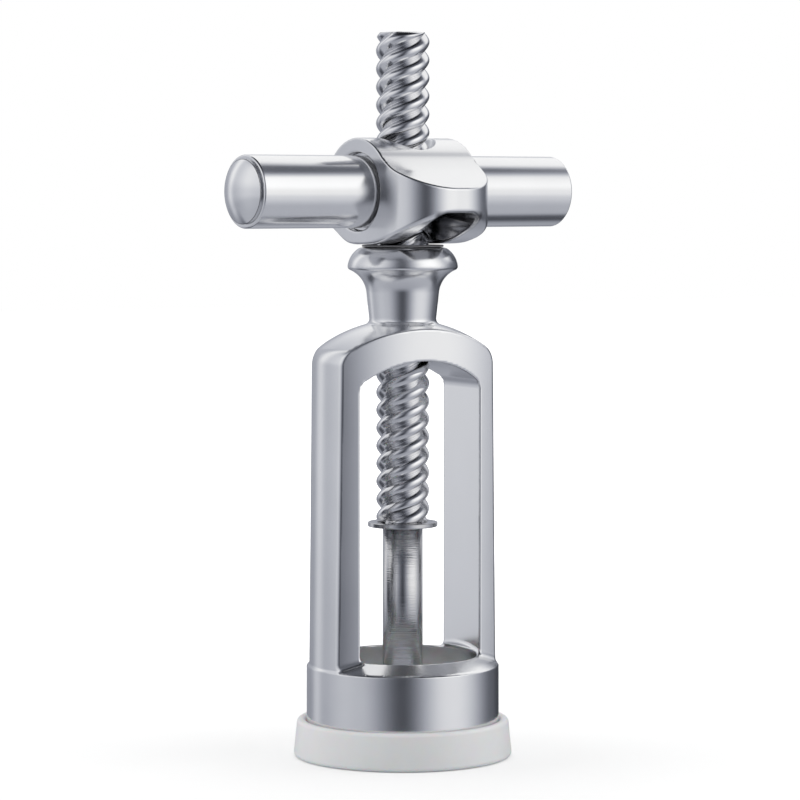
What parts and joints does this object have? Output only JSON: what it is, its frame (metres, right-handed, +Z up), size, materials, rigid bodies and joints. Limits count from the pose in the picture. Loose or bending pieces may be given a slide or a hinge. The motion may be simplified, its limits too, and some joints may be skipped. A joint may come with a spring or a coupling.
{
  "type": "t-handle corkscrew",
  "caption": "Corkscrew with an open bottle-shaped frame on a plastic seat ring, a coarse screw spindle carrying the worm, and a T-handle whose hub is the nut that draws spindle and cork up.",
  "frame": {"origin": "middle of the base, on the surface that the seat collar stands on, under the spindle's axis", "axes": "+Z up the spindle, +X across the window from pillar to pillar, the open sides of the frame face -Y and +Y"},
  "size_m": [0.103, 0.0566, 0.1861],
  "materials": {
    "satin_metal": "satin, fine blasted",
    "polished_steel": "polished",
    "frosted_plastic": "frosted, translucent white",
    "washer_plastic": "plain, dark grey",
    "plain_steel": "turned"
  },
  "bodies": {
    "frame": {"frame": "satin_metal", "base_collar": "frosted_plastic"},
    "washer": {"thrust_washer": "washer_plastic"},
    "handle": {"handle_hub": "satin_metal", "drive_nut": "plain_steel", "left_grip": "satin_metal", "right_grip": "satin_metal", "left_end_cap": "satin_metal", "right_end_cap": "satin_metal", "left_stud": "plain_steel", "right_stud": "plain_steel"},
    "spindle": {"spindle": "polished_steel", "stop_washer": "polished_steel", "worm": "polished_steel"}
  },
  "joints": [
    {"name": "crank_turn", "type": "hinge", "parent": "frame", "child": "washer", "pos_m": [0, 0, 0.132], "axis": [0, 0, 1], "continuous": true},
    {"name": "handle_turn", "type": "hinge", "parent": "washer", "child": "handle", "pos_m": [0, 0, 0.1455], "axis": [0, 0, 1], "range_deg": [-1046, 576]},
    {"name": "spindle_lift", "type": "slide", "parent": "washer", "child": "spindle", "axis": [0, 0, 1], "range_m": [-0.022, 0.04]}
  ],
  "couplings": [
    {"joint": "handle_turn", "follows": "spindle_lift", "rad_per_m": -455.3}
  ]
}
